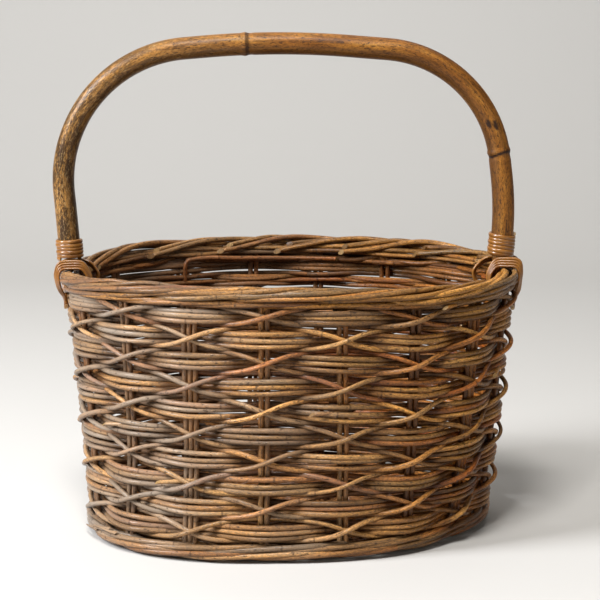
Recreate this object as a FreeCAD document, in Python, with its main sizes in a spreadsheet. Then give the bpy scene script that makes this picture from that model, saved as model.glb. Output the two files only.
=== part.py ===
import FreeCAD, Part
import math
import os

import Sketcher
from FreeCAD import Placement, Rotation, Vector

# Woven market basket: an oval body of woven rods with a fixed hoop handle.
# Frame in millimetres: Z up, the origin on the floor under the centre, X along the basket
# and through both feet of the handle, the front at -Y.

os.makedirs("parts", exist_ok=True)
doc = FreeCAD.newDocument("market_basket")

# alias, value, what it is
DIMENSIONS = [
    ("base_half_length", 163.0, "middle of the wall from the centre along X, at the floor"),
    ("base_half_width", 115.0, "middle of the wall from the centre along Y, at the floor"),
    ("rim_half_length", 182.0, "middle of the wall from the centre along X, at the rim"),
    ("rim_half_width", 129.0, "middle of the wall from the centre along Y, at the rim"),
    ("rim_level", 220.0, "height at which the rim sizes hold"),
    ("base_squareness", 2.2, "exponent of the oval at the floor, where 2 is an ellipse"),
    ("rim_squareness", 2.0, "exponent of the oval at the rim"),
    ("stake_count", 16, "pairs of upright rods around the wall"),
    ("stake_phase", -0.33, "first stake from the front centre, in stake pitches"),
    ("stake_radius", 2.1, "radius of an upright rod"),
    ("stake_spacing", 5.0, "between the two rods of a pair"),
    ("stake_low", 1.5, "lower end of the stakes"),
    ("stake_high", 211.6, "upper end of the stakes, under the border"),
    ("row_count", 10, "rows of weaving"),
    ("row_pitch", 18.7, "height from one row to the next"),
    ("first_row_height", 24.6, "middle of the lowest row"),
    ("bundle_tall", 10.0, "height of the bundle of three rods"),
    ("bundle_thick", 3.6, "thickness of the bundle"),
    ("weave_swing", 5.4, "how far the weaving passes outside or inside the stakes"),
    ("crossing_size", 3.2, "side of a crossing rod's section"),
    ("crossing_rise", 7.2, "crossing rods above and below the middle of their row"),
    ("wale_thick", 13.0, "thickness of the foot, the top wale and the border"),
    ("foot_tall", 15.2, "height of the foot wale"),
    ("wale_low", 204.4, "underside of the top wale"),
    ("wale_tall", 7.2, "height of the top wale"),
    ("border_low", 212.0, "underside of the border"),
    ("border_tall", 12.6, "height of the border"),
    ("border_round", 4.5, "rounding of the border's edges"),
    ("passage_gap", 0.35, "clearance around a stake where it passes through a wale"),
    ("mat_low", 8.9, "underside of the base mat"),
    ("mat_thick", 4.0, "thickness of the base mat"),
    ("mat_inset", 7.2, "edge of the base mat inside the middle of the wall"),
    ("stick_radius", 2.0, "radius of a base stick"),
    ("stick_gap", 0.3, "clearance between the base mat and its sticks"),
    ("long_stick_count", 5, "sticks along the base"),
    ("long_stick_pitch", 9.0, "between the long sticks"),
    ("cross_stick_count", 7, "sticks across the base"),
    ("cross_stick_pitch", 26.0, "between the cross sticks"),
    ("stick_inset", 14.0, "ends of the sticks inside the middle of the wall"),
    ("pole_radius", 9.0, "radius of the handle pole"),
    ("pole_bend", 105.0, "radius of the two bends of the handle"),
    ("pole_inset", 4.3, "middle of the pole inside the middle of the wall, at the rim"),
    ("pole_knee", 252.0, "height at which the legs leave the slope of the wall"),
    ("left_corner_x", -193.0, "where the lines of the left leg and the crown meet"),
    ("right_corner_x", 179.0, "where the lines of the right leg and the crown meet"),
    ("corner_height", 392.0, "height of both corners"),
    ("crown_height", 400.5, "height at which the two halves of the crown meet"),
    ("tongue_low", 128.0, "lower end of the tongue of a handle foot"),
    ("tongue_depth", 7.7, "outer face of the tongue inside the middle of the wall"),
    ("shoulder_height", 224.9, "underside of the full pole, just above the border"),
    ("node_ring_radius", 9.9, "radius of the raised growth rings on the pole"),
    ("node_ring_tall", 3.0, "length of a growth ring along the pole"),
    ("cane_radius", 1.6, "radius of the cane strand that binds the pole"),
    ("cane_pitch", 2.9, "between turns of the binding"),
    ("cane_turns", 5, "turns of the binding"),
    ("cane_gap", 0.3, "clearance between the cane and the pole"),
    ("binding_low", 229.0, "lowest turn's underside"),
    ("strap_width", 4.6, "width of a lashing strap"),
    ("strap_thick", 1.5, "thickness of a lashing strap"),
    ("strap_aside", 12.45, "middle of a lashing strap from the middle of the pole"),
    ("strap_low", 202.2, "underside of a lashing strap"),
    ("strap_gap", 1.3, "clearance between a strap and the rim"),
]

sheet = doc.addObject("Spreadsheet::Sheet", "Dimensions")
for row, (alias, value, meaning) in enumerate(DIMENSIONS, start=1):
    sheet.set(f"A{row}", meaning)
    sheet.set(f"B{row}", str(value))
    sheet.setAlias(f"B{row}", alias)
doc.recompute()


def dim(alias):
    return float(sheet.get(alias))


def bind(obj, prop, expression):
    """Binds a size to an expression in which a bare alias is read from the sheet."""
    words = sorted((alias for alias, _, _ in DIMENSIONS), key=len, reverse=True)
    for word in words:
        expression = expression.replace(word, "<<" + word + ">>")
    expression = expression.replace("<<", "Dimensions.").replace(">>", "")
    obj.setExpression(prop, expression)


sub_parts = []


def keep(obj, label):
    """Names an object as a sub-part."""
    obj.Label = label
    sub_parts.append(obj)
    return obj


def keep_shape(shape, label):
    """A sub-part whose shape follows the oval wall, which no primitive or sketch describes."""
    obj = doc.addObject("Part::Feature", label)
    obj.Shape = shape
    obj.Placement = Placement()
    return keep(obj, label)


# ---------------------------------------------------------------- the oval wall

def blend(low, high, height):
    """A size of the wall at a height, from its values at the floor and at the rim."""
    return dim(low) + (dim(high) - dim(low)) * height / dim("rim_level")


def half_length(height):
    return blend("base_half_length", "rim_half_length", height)


def half_width(height):
    return blend("base_half_width", "rim_half_width", height)


def squareness(height):
    return blend("base_squareness", "rim_squareness", height)


def oval(angle, height):
    """The point of the wall's middle surface at an angle of the oval, and its outward normal."""
    a, b, n = half_length(height), half_width(height), squareness(height)
    c, s = math.cos(angle), math.sin(angle)
    x = math.copysign(abs(c) ** (2 / n), c)
    y = math.copysign(abs(s) ** (2 / n), s)
    normal = Vector(math.copysign(abs(x) ** (n - 1), x) / a, math.copysign(abs(y) ** (n - 1), y) / b, 0)
    return Vector(a * x, b * y, height), normal.normalize()


def oval_angles(steps=1440):
    """The oval's angle at equal steps along its girth at mid height, from the front centre."""
    middle = dim("rim_level") / 2
    angles = [-math.pi / 2 + 2 * math.pi * i / steps for i in range(steps + 1)]
    points = [oval(angle, middle)[0] for angle in angles]
    run = [0.0]
    for p, q in zip(points, points[1:]):
        run.append(run[-1] + p.distanceToPoint(q))
    found, i = [], 0
    for k in range(steps):
        target = run[-1] * k / steps
        while run[i + 1] < target:
            i += 1
        found.append(angles[i] + (angles[i + 1] - angles[i]) * (target - run[i]) / (run[i + 1] - run[i]))
    return found, run[-1]


ANGLES, GIRTH = oval_angles()


def wall_frame(turn, height):
    """The wall's middle point and outward normal at a part of the girth, 0 at the front centre."""
    place = (turn % 1.0) * len(ANGLES)
    i = int(place)
    after = ANGLES[i + 1] if i + 1 < len(ANGLES) else ANGLES[0] + 2 * math.pi
    return oval(ANGLES[i] + (after - ANGLES[i]) * (place - i), height)


def wall_point(turn, height, outward=0.0):
    point, normal = wall_frame(turn, height)
    return point + normal * outward


def stake_turn(number):
    return (number + dim("stake_phase")) / dim("stake_count")


def swing(turn, parity):
    """How far out the weaving is: outside the stakes of its own parity and inside the others."""
    wave = math.cos(math.pi * (turn * dim("stake_count") - dim("stake_phase")))
    return dim("weave_swing") * wave * (1 if parity % 2 == 0 else -1)


# ---------------------------------------------------------------- shapes that follow the wall

def closed_curve(outward, level, sample_height, points):
    """A closed curve at one level, at a distance from the wall that outward(turn) gives."""
    curve = Part.BSplineCurve()
    ring = []
    for i in range(points):
        p = wall_point(i / points, sample_height, outward(i / points))
        ring.append(Vector(p.x, p.y, level))
    curve.interpolate(Points=ring, PeriodicFlag=True)
    return Part.Wire(curve.toShape())


def band(middle, thick, low, tall, points):
    """A closed band of one thickness around the wall, sized for its own mid height."""
    sample = low + tall / 2
    outer = closed_curve(lambda turn: middle(turn) + thick / 2, low, sample, points)
    inner = closed_curve(lambda turn: middle(turn) - thick / 2, low, sample, points)
    return Part.Face(outer).cut(Part.Face(inner)).extrude(Vector(0, 0, tall)).Solids[0]


def plain_ring(low, tall):
    """A ring as thick as the wales, centred on the wall."""
    return band(lambda turn: 0.0, dim("wale_thick"), low, tall, 64)


def along(low_point, high_point):
    """The placement that carries a cylinder's axis from one point towards another."""
    return Placement(low_point, Rotation(Vector(0, 0, 1), high_point - low_point))


def upright(number, side, extra, name):
    """One rod of a stake pair as a cylinder, with its radius grown by extra, an alias or nothing."""
    turn = stake_turn(number) + side * dim("stake_spacing") / 2 / GIRTH
    low = wall_point(turn, dim("stake_low"))
    high = wall_point(turn, dim("stake_high"))
    rod = doc.addObject("Part::Cylinder", name)
    bind(rod, "Radius", "stake_radius" + extra)
    rod.Height = low.distanceToPoint(high)
    rod.Placement = along(low, high)
    return rod


def make_stakes():
    """Pairs of upright rods from the foot to the underside of the border."""
    for number in range(int(dim("stake_count"))):
        rods = [upright(number, side, "", f"stake_rod_{number + 1}_{side + 2}") for side in (-1, 1)]
        pair = doc.addObject("Part::Compound", f"stake_pair_{number + 1:02d}")
        pair.Links = rods
        keep(pair, f"stake_pair_{number + 1:02d}")


def make_passages():
    """The space that the stakes need where they pass through the wales."""
    rods = []
    for number in range(int(dim("stake_count"))):
        for side in (-1, 1):
            rods.append(upright(number, side, " + passage_gap", f"passage_{number + 1}_{side + 2}"))
            bind(rods[-1], "Height", "stake_high + passage_gap")
    passages = doc.addObject("Part::Compound", "passages")
    passages.Links = rods
    return passages


def make_wale(label, low, tall, passages):
    """A wale: rods twined around every stake, as one ring with a passage for each stake."""
    ring = doc.addObject("Part::Feature", label + "_ring")
    ring.Shape = plain_ring(low, tall)
    wale = doc.addObject("Part::Cut", label)
    wale.Base = ring
    wale.Tool = passages
    keep(wale, label)


def make_weave():
    """Rows of weaving: a bundle of three rods, and two rods that cross the other way."""
    points = int(dim("stake_count")) * 8
    for number in range(int(dim("row_count"))):
        middle = dim("first_row_height") + number * dim("row_pitch")
        low = middle - dim("bundle_tall") / 2
        keep_shape(
            band(lambda turn: swing(turn, number), dim("bundle_thick"), low, dim("bundle_tall"), points),
            f"weave_row_{number + 1:02d}",
        )
        pair = []
        for side in (-1, 1):
            low = middle + side * dim("crossing_rise") - dim("crossing_size") / 2
            size = dim("crossing_size")
            pair.append(band(lambda turn: swing(turn, number + 1), size, low, size, points))
        keep_shape(Part.makeCompound(pair), f"cross_pair_{number + 1:02d}")


def make_border():
    """The rolled border that closes the wall over the ends of the stakes."""
    ring = plain_ring(dim("border_low"), dim("border_tall"))
    edges = [edge for edge in ring.Edges if edge.isClosed()]
    keep_shape(ring.makeFillet(dim("border_round"), edges), "rim_border")


# ---------------------------------------------------------------- the base

def make_mat():
    """The woven floor of the basket, a closed oval plate."""
    low = dim("mat_low")
    edge = closed_curve(lambda turn: -dim("mat_inset"), low, low, 64)
    keep_shape(Part.Face(edge).extrude(Vector(0, 0, dim("mat_thick"))), "base_mat")


def reach(place, span, width, height):
    """Half the length of a stick across the oval, at a distance from its middle line."""
    n = squareness(height)
    return span * (1 - abs(place / width) ** n) ** (1 / n)


def make_sticks(label, count, pitch, level, lengthways):
    """Parallel sticks that carry the base mat."""
    sticks = []
    inset = dim("stick_inset")
    a, b = half_length(level) - inset, half_width(level) - inset
    for i in range(count):
        place = (i - (count - 1) / 2) * pitch
        half = reach(place, a, b, level) if lengthways else reach(place, b, a, level)
        start = Vector(-half, place, level) if lengthways else Vector(place, -half, level)
        end = Vector(half, place, level) if lengthways else Vector(place, half, level)
        stick = doc.addObject("Part::Cylinder", f"{label}_{i + 1}")
        bind(stick, "Radius", "stick_radius")
        stick.Height = 2 * half
        stick.Placement = along(start, end)
        sticks.append(stick)
    group = doc.addObject("Part::Compound", label)
    group.Links = sticks
    keep(group, label)


def make_base():
    make_mat()
    below = dim("mat_low") - dim("stick_gap") - dim("stick_radius")
    above = dim("mat_low") + dim("mat_thick") + dim("stick_gap") + dim("stick_radius")
    make_sticks("base_long_sticks", int(dim("long_stick_count")), dim("long_stick_pitch"), below, True)
    make_sticks("base_cross_sticks", int(dim("cross_stick_count")), dim("cross_stick_pitch"), above, False)


# ---------------------------------------------------------------- the handle

def foot(side, height, inset):
    """A point of the handle's plane at a distance inside the middle of the wall's end."""
    return Vector(side * (half_length(height) - inset), 0, height)


def rounded_path(corners, radii):
    """Straight runs through the corners, joined by tangent arcs of the given radii."""
    edges, start = [], corners[0]
    for before, corner, after, radius in zip(corners, corners[1:], corners[2:], radii):
        u, v = (before - corner).normalize(), (after - corner).normalize()
        half_turn = (math.pi - u.getAngle(v)) / 2
        cut = radius * math.tan(half_turn)
        first, last = corner + u * cut, corner + v * cut
        middle = corner + (u + v).normalize() * (radius / math.cos(half_turn) - radius)
        edges.append(Part.LineSegment(start, first).toShape())
        edges.append(Part.Arc(first, middle, last).toShape())
        start = last
    edges.append(Part.LineSegment(start, corners[-1]).toShape())
    return Part.Wire(edges)


def handle_corners():
    """The corners of the handle's middle line, from the left tongue over the crown."""
    inset = dim("pole_inset")
    left_knee, right_knee = foot(-1, dim("pole_knee"), inset), foot(1, dim("pole_knee"), inset)
    return [
        foot(-1, dim("tongue_low"), inset),
        left_knee,
        Vector(dim("left_corner_x"), 0, dim("corner_height")),
        Vector((dim("left_corner_x") + dim("right_corner_x")) / 2, 0, dim("crown_height")),
        Vector(dim("right_corner_x"), 0, dim("corner_height")),
        right_knee,
        foot(1, dim("tongue_low"), inset),
    ]


def scarf(side):
    """The wood that is cut from the outer side of a foot, so that its tongue fits inside the wall."""
    low, high = dim("tongue_low") - 10, dim("shoulder_height")
    top, bottom = foot(side, high, dim("tongue_depth")), foot(side, low, dim("tongue_depth"))
    far = side * 40
    corners = [bottom, top, top + Vector(far, 0, 0), bottom + Vector(far, 0, 0), bottom]
    face = Part.Face(Part.makePolygon(corners))
    face.translate(Vector(0, -20, 0))
    return face.extrude(Vector(0, 40, 0))


def growth_ring(point, direction):
    """A raised ring where a leaf grew on the cane."""
    tall = dim("node_ring_tall")
    axis = Vector(direction).normalize()
    ring = Part.makeCylinder(dim("node_ring_radius"), tall, point - axis * (tall / 2), axis)
    return ring.makeFillet(0.6, [edge for edge in ring.Edges if edge.isClosed() and len(edge.Vertexes) == 1])


def make_handle():
    """One bent rattan pole. Below the border each foot is cut to a tongue inside the wall."""
    corners = handle_corners()
    bend = dim("pole_bend")
    path = rounded_path(corners, [260.0, bend, 700.0, bend, 260.0])
    start, direction = corners[0], corners[1] - corners[0]
    section = Part.Wire(Part.Circle(start, direction, dim("pole_radius")).toShape())
    pole = path.makePipeShell([section], True, False)
    expected = math.pi * dim("pole_radius") ** 2 * path.Length
    print(f"handle pole: {pole.Volume:.0f} mm3 swept, {expected:.0f} mm3 by section and length")
    crown, right_leg = corners[3], corners[4] - corners[5]
    on_leg = corners[5] + right_leg * 0.42
    for point, axis in ((crown + Vector(-30, 0, -2.6), Vector(1, 0, 0.03)), (on_leg, right_leg)):
        pole = pole.fuse(growth_ring(point, axis))
    for side in (-1, 1):
        pole = pole.cut(scarf(side))
    keep_shape(pole.removeSplitter().Solids[0], "handle_pole")


def make_binding(side, label):
    """Turns of cane around the pole just above the rim."""
    low_end = foot(side, dim("tongue_low"), dim("pole_inset"))
    high_end = foot(side, dim("pole_knee"), dim("pole_inset"))
    axis = (high_end - low_end).normalize()
    turns = []
    for i in range(int(dim("cane_turns"))):
        height = dim("binding_low") + dim("cane_radius") + i * dim("cane_pitch")
        centre = low_end + axis * ((height - low_end.z) / axis.z)
        turn = doc.addObject("Part::Torus", f"{label}_turn_{i + 1}")
        bind(turn, "Radius1", "pole_radius + cane_gap + cane_radius")
        bind(turn, "Radius2", "cane_radius")
        turn.Placement = Placement(centre, Rotation(Vector(0, 0, 1), axis))
        turns.append(turn)
    binding = doc.addObject("Part::MultiFuse", label)
    binding.Shapes = turns
    keep(binding, label)


def rectangle(sketch, half_across, low, high):
    """Adds a closed rectangle to a sketch, bound to expressions for its half width, low and high."""
    first = sketch.GeometryCount
    corners = [Vector(-8, 200, 0), Vector(8, 200, 0), Vector(8, 226, 0), Vector(-8, 226, 0)]
    for p, q in zip(corners, corners[1:] + corners[:1]):
        sketch.addGeometry(Part.LineSegment(p, q))
    for i in range(4):
        sketch.addConstraint(Sketcher.Constraint("Coincident", first + i, 2, first + (i + 1) % 4, 1))
    for i in (0, 2):
        sketch.addConstraint(Sketcher.Constraint("Horizontal", first + i))
        sketch.addConstraint(Sketcher.Constraint("Vertical", first + i + 1))
    for kind, point, value, expression in (
        ("DistanceX", 1, -8.0, "-(" + half_across + ")"),
        ("DistanceX", 2, 8.0, half_across),
        ("DistanceY", 1, 200.0, low),
    ):
        index = sketch.addConstraint(Sketcher.Constraint(kind, -1, 1, first, point, value))
        bind(sketch, f"Constraints[{index}]", expression)
    index = sketch.addConstraint(Sketcher.Constraint("DistanceY", -1, 1, first + 2, 1, 226.0))
    bind(sketch, f"Constraints[{index}]", high)


def make_strap(side, way, label):
    """A lashing strap: flat cane looped around the rim beside the pole."""
    body = doc.addObject("PartDesign::Body", label)
    plane = next(f for f in body.Origin.OriginFeatures if f.Role == "XZ_Plane")
    sketch = body.newObject("Sketcher::SketchObject", label + "_loop")
    sketch.AttachmentSupport = [(plane, "")]
    sketch.MapMode = "FlatFace"
    inner_half = "wale_thick / 2 + strap_gap"
    top = "border_low + border_tall + strap_gap"
    rectangle(sketch, inner_half + " + strap_thick", "strap_low", top + " + strap_thick")
    rectangle(sketch, inner_half, "strap_low + strap_thick", top)
    pad = body.newObject("PartDesign::Pad", label + "_pad")
    pad.Profile = sketch
    pad.Midplane = True
    bind(pad, "Length", "strap_width")
    body.Tip = pad
    quarter = 0.25 if side > 0 else 0.75
    turn = quarter + side * way * dim("strap_aside") / GIRTH
    point, normal = wall_frame(turn, dim("border_low"))
    body.Placement = Placement(Vector(point.x, point.y, 0), Rotation(Vector(1, 0, 0), normal))
    keep(body, label)


def make_lashing():
    for side, end in ((-1, "left"), (1, "right")):
        make_binding(side, f"handle_binding_{end}")
        make_strap(side, -1, f"lashing_{end}_front")
        make_strap(side, 1, f"lashing_{end}_back")


def check_and_write():
    doc.recompute()
    for obj in doc.Objects:
        if "Invalid" in obj.State or "Error" in obj.State:
            raise RuntimeError(f"{obj.Label} didn't recompute: {obj.State}")
    for obj in sub_parts:
        shape = obj.Shape
        if shape.isNull() or not shape.isValid() or not shape.Solids:
            raise RuntimeError(f"{obj.Label} has no valid solid")
        shape.exportStep(os.path.join("parts", obj.Label + ".step"))
    print(f"{len(sub_parts)} sub-parts written")


make_base()
make_stakes()
stake_passages = make_passages()
make_wale("foot_wale", 0.0, dim("foot_tall"), stake_passages)
make_weave()
make_wale("top_wale", dim("wale_low"), dim("wale_tall"), stake_passages)
make_border()
make_handle()
make_lashing()
check_and_write()
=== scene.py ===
import math
import random

import bpy
import numpy as np
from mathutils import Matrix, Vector


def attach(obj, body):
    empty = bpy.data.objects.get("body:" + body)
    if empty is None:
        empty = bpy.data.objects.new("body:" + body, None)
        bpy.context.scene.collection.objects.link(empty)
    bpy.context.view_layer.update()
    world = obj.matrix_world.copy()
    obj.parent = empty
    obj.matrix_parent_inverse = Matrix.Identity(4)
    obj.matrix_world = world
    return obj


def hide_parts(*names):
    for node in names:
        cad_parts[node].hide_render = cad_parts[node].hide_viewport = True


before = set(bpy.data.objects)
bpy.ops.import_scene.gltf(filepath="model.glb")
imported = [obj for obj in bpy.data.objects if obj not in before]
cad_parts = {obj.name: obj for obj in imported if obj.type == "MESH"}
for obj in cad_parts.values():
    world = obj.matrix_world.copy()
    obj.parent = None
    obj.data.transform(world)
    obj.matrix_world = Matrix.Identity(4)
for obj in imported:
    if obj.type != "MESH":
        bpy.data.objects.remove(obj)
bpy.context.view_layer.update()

# A woven market basket. Lengths are in metres. X runs along the basket, the front is at -Y.
# A place on the wall is (turn, out, height): turn is the part of the girth from the front
# centre towards +X, out the distance outside the wall's middle surface.

MM = 0.001
BODY = "root"

STAKES = 16
STAKE_PHASE = -0.33
ROWS = 10
ROW_PITCH = 18.7 * MM
FIRST_ROW = 24.6 * MM
RIM_LEVEL = 220 * MM
BASE_HALF = (163 * MM, 115 * MM)
RIM_HALF = (182 * MM, 129 * MM)
BASE_SQUARENESS = 2.2
RIM_SQUARENESS = 2.0

STAKE_RADIUS = 2.15 * MM
ROD_RADIUS = 2.1 * MM
CROSS_RADIUS = 2.0 * MM
BORDER_RADIUS = 2.3 * MM
POLE_RADIUS = 9 * MM

rng = random.Random(20)


# ---- the oval wall

def section(height):
    """The half length, half width and squareness of the wall's oval at a height."""
    rise = height / RIM_LEVEL
    a = BASE_HALF[0] + (RIM_HALF[0] - BASE_HALF[0]) * rise
    b = BASE_HALF[1] + (RIM_HALF[1] - BASE_HALF[1]) * rise
    return a, b, BASE_SQUARENESS + (RIM_SQUARENESS - BASE_SQUARENESS) * rise


def oval(angle, height):
    """Points of the wall's middle surface and their outward normals, for arrays of angles."""
    a, b, n = section(height)
    c, s = np.cos(angle), np.sin(angle)
    x = np.copysign(np.abs(c) ** (2 / n), c)
    y = np.copysign(np.abs(s) ** (2 / n), s)
    nx = np.copysign(np.abs(x) ** (n - 1), x) / a
    ny = np.copysign(np.abs(y) ** (n - 1), y) / b
    size = np.hypot(nx, ny)
    return a * x, b * y, nx / size, ny / size


def oval_table(steps=4096):
    """The oval's angle at equal parts of the girth at mid height, and that girth."""
    angle = -math.pi / 2 + 2 * math.pi * np.arange(steps + 1) / steps
    x, y, _, _ = oval(angle, RIM_LEVEL / 2)
    run = np.r_[0, np.cumsum(np.hypot(np.diff(x), np.diff(y)))]
    return angle, run / run[-1], run[-1]


TABLE_ANGLE, TABLE_TURN, GIRTH = oval_table()
PITCH = GIRTH / STAKES


# The basket is a little out of shape. Each row holds a turn, then how far in millimetres the
# weave stands too high at each of LEAN_LEVELS there.
LEAN_LEVELS = (0, 20, 60, 100, 150, 190, 204, 222)
LEAN = [
    (0.00, 0, 0.0, -0.8, 2.0, 4.5, 4.0, 0.5, -5.0),
    (0.06, 0, 1.0, 0.0, -1.0, 3.0, 3.5, -0.5, -6.5),
    (0.11, 0, 0.0, -3.0, -4.0, -1.5, -2.0, -4.0, -8.5),
    (0.17, 0, 1.0, -1.5, -4.0, -1.0, -1.0, -4.0, -9.0),
    (0.23, 0, 1.0, 1.0, 0.0, 1.0, 1.0, -2.0, -7.5),
    (0.26, 0, 0.0, 0.0, 0.0, 0.0, 0.0, -2.0, -6.5),
    (0.31, 0, 0.0, 0.0, 0.0, 0.0, 1.5, 0.0, -2.5),
    (0.38, 0, 0.0, 0.0, 0.0, 1.0, 3.0, 0.8, 0.0),
    (0.62, 0, 0.0, 0.0, 0.0, 1.0, 3.0, 0.8, 0.0),
    (0.69, 0, 0.0, 0.0, 0.0, 0.0, 1.5, -1.0, -4.0),
    (0.74, 0, 0.0, 0.5, 0.0, 0.0, 0.0, -4.0, -11.0),
    (0.77, 0, 0.0, 0.5, 0.0, 0.0, 0.0, -4.0, -10.5),
    (0.85, 0, 0.0, 0.0, 1.5, 1.5, 2.0, -1.0, -6.5),
    (0.92, 0, -0.5, -1.5, 1.0, 2.5, 3.0, 0.0, -5.0),
]
# Rows of turn and how far in millimetres the foot bulges there, and the height where that ends.
FOOT_BULGE = [(0.0, 8.0), (0.06, 4.0), (0.11, -1.0), (0.165, -10.0), (0.20, -9.0), (0.24, -2.0),
              (0.30, 2.0), (0.5, 0.0), (0.72, 0.0), (0.79, 1.0), (0.86, 14.0), (0.93, 15.0)]
BULGE_TOP = 120 * MM
# Rows of stake number and how far in pitches that stake stands from its even place.
STAKE_DRIFT = [(0, 0.05), (1, 0.10), (2, 0.06), (3, 0.0), (5, -0.04), (7, -0.09), (9, -0.06),
               (10, 0.0), (11, 0.10), (12, 0.17), (13, 0.18), (14, 0.13), (15, 0.06)]


TABLE_STEPS = 1024


def lap_table(rows, lap, smooth):
    """Columns of values round the basket, softened, as a table read at equal steps of a lap."""
    rows = np.asarray(rows, float)
    steps = np.arange(TABLE_STEPS) / TABLE_STEPS * lap
    columns = []
    for k in range(1, rows.shape[1]):
        column = np.interp(steps, rows[:, 0], rows[:, k], period=lap)
        width = int(TABLE_STEPS * smooth)
        kernel = np.hanning(2 * width + 1)
        kernel /= kernel.sum()
        padded = np.concatenate([column[-width:], column, column[:width]])
        columns.append(np.convolve(padded, kernel, mode="valid"))
    return np.array(columns)


LEAN_TABLE = lap_table(LEAN, 1.0, 0.035)
BULGE_TABLE = lap_table(FOOT_BULGE, 1.0, 0.035)
DRIFT_TABLE = lap_table(STAKE_DRIFT, STAKES, 0.05)


def read_table(column, share):
    """A table's column at shares of a lap, between its steps."""
    place = np.mod(share, 1.0) * TABLE_STEPS
    low = np.floor(place).astype(int)
    part = place - low
    return column[low % TABLE_STEPS] * (1 - part) + column[(low + 1) % TABLE_STEPS] * part


def on_wall(turn, out, height):
    """Points at (turn, out, height), as an array with one row each."""
    turn, out, height = np.broadcast_arrays(*(np.asarray(v, float) for v in (turn, out, height)))
    laps = np.floor(turn)
    angle = np.interp(turn - laps, TABLE_TURN, TABLE_ANGLE)
    bulge = read_table(BULGE_TABLE[0], turn) * MM
    out = out + bulge * np.clip(1 - height / BULGE_TOP, 0, 1) ** 2
    x, y, nx, ny = oval(angle, height)
    levels = np.array(LEAN_LEVELS) * MM
    lifts = np.array([read_table(column, turn) for column in LEAN_TABLE]) * MM
    lifts = lifts.reshape(len(levels), -1)
    upper = np.clip(np.searchsorted(levels, height), 1, len(levels) - 1)
    part = np.clip((height - levels[upper - 1]) / (levels[upper] - levels[upper - 1]), 0, 1).ravel()
    upper, each = upper.ravel(), np.arange(height.size)
    lift = lifts[upper - 1, each] * (1 - part) + lifts[upper, each] * part
    return np.stack([x + nx * out, y + ny * out, height + lift.reshape(height.shape)], axis=-1)


def stake_turn(number):
    """The turn of a stake, or of a place between two stakes."""
    number = np.asarray(number, float)
    return (number + read_table(DRIFT_TABLE[0], number / STAKES) + STAKE_PHASE) / STAKES


def outside(points):
    """How far points are outside the wall's middle surface, near enough for shading."""
    a, b, n = section(points[:, 2])
    share = (np.abs(points[:, 0] / a) ** n + np.abs(points[:, 1] / b) ** n) ** (1 / n)
    return (share - 1) / np.maximum(share, 1e-6) * np.hypot(points[:, 0], points[:, 1])


# ---- curves and tubes

def smooth_noise(values, seed, wave):
    """A gentle random wobble of size about 1 along the values, one wave per `wave`."""
    source = random.Random(seed)
    total = np.zeros_like(values)
    for i in range(3):
        phase = source.uniform(0, 2 * math.pi)
        total += np.sin(2 * math.pi * values / wave * (0.6 + 0.55 * i) + phase) / (1 + i)
    return total / 1.4


def spline(keys, places):
    """A smooth curve through rows of keys whose first column is the place, read at the places."""
    keys = np.asarray(keys, float)
    at, values = keys[:, 0], keys[:, 1:]
    slopes = np.gradient(values, at, axis=0)
    i = np.clip(np.searchsorted(at, places, side="right") - 1, 0, len(at) - 2)
    span = at[i + 1] - at[i]
    u = np.clip((places - at[i]) / span, 0, 1)[:, None]
    span = span[:, None]
    return (
        (2 * u**3 - 3 * u**2 + 1) * values[i]
        + (u**3 - 2 * u**2 + u) * span * slopes[i]
        + (3 * u**2 - 2 * u**3) * values[i + 1]
        + (u**3 - u**2) * span * slopes[i + 1]
    )


def lengths_along(points):
    """How far along a path each of its points is."""
    return np.r_[0, np.cumsum(np.linalg.norm(np.diff(points, axis=0), axis=1))]


def even_steps(points, step):
    """The same path with points at an even spacing."""
    run = lengths_along(points)
    count = max(4, int(run[-1] / step))
    at = np.linspace(0, run[-1], count + 1)
    return np.stack([np.interp(at, run, points[:, k]) for k in range(3)], axis=1)


def frames_along(points):
    """Unit directions along a path, with two sides that don't twist."""
    direction = np.gradient(points, axis=0)
    direction /= np.linalg.norm(direction, axis=1)[:, None]
    side = np.cross(direction[0], (0.0, 0.0, 1.0))
    if np.linalg.norm(side) < 0.2:
        side = np.cross(direction[0], (0.0, 1.0, 0.0))
    side /= np.linalg.norm(side)
    sides = np.empty_like(points)
    for i, d in enumerate(direction):
        side = side - d * np.dot(side, d)
        side /= np.linalg.norm(side)
        sides[i] = side
    return direction, sides, np.cross(direction, sides)


def put(name, data):
    """A new object in the scene."""
    obj = bpy.data.objects.new(name, data)
    bpy.context.scene.collection.objects.link(obj)
    return obj


def smooth_mesh(name, points, faces, material):
    mesh = bpy.data.meshes.new(name)
    mesh.from_pydata(points, [], faces)
    mesh.polygons.foreach_set("use_smooth", [True] * len(mesh.polygons))
    mesh.materials.append(material)
    return mesh


GRAIN_SHIFT = 3.0
# Painted shade by place: how near the middle of the wall a rod is darkened as in the shade of others,
# the height above which the border lies open, how far inside the wall it is darkened, and where that
# fades out.
SUNK_DEPTH = 5 * MM
OPEN_LEVEL = 209 * MM
INSIDE_DEPTH = 4 * MM
INSIDE_TOP = 213 * MM
INSIDE_FADE = 8 * MM


def unrolled(around, radius, along):
    """Grain coordinates on a tube: two across it and one along it."""
    across, above = np.cos(around) * radius[:, None], np.sin(around) * radius[:, None]
    return np.stack([across, above, np.broadcast_to(along[:, None], across.shape)], axis=-1)


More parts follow.
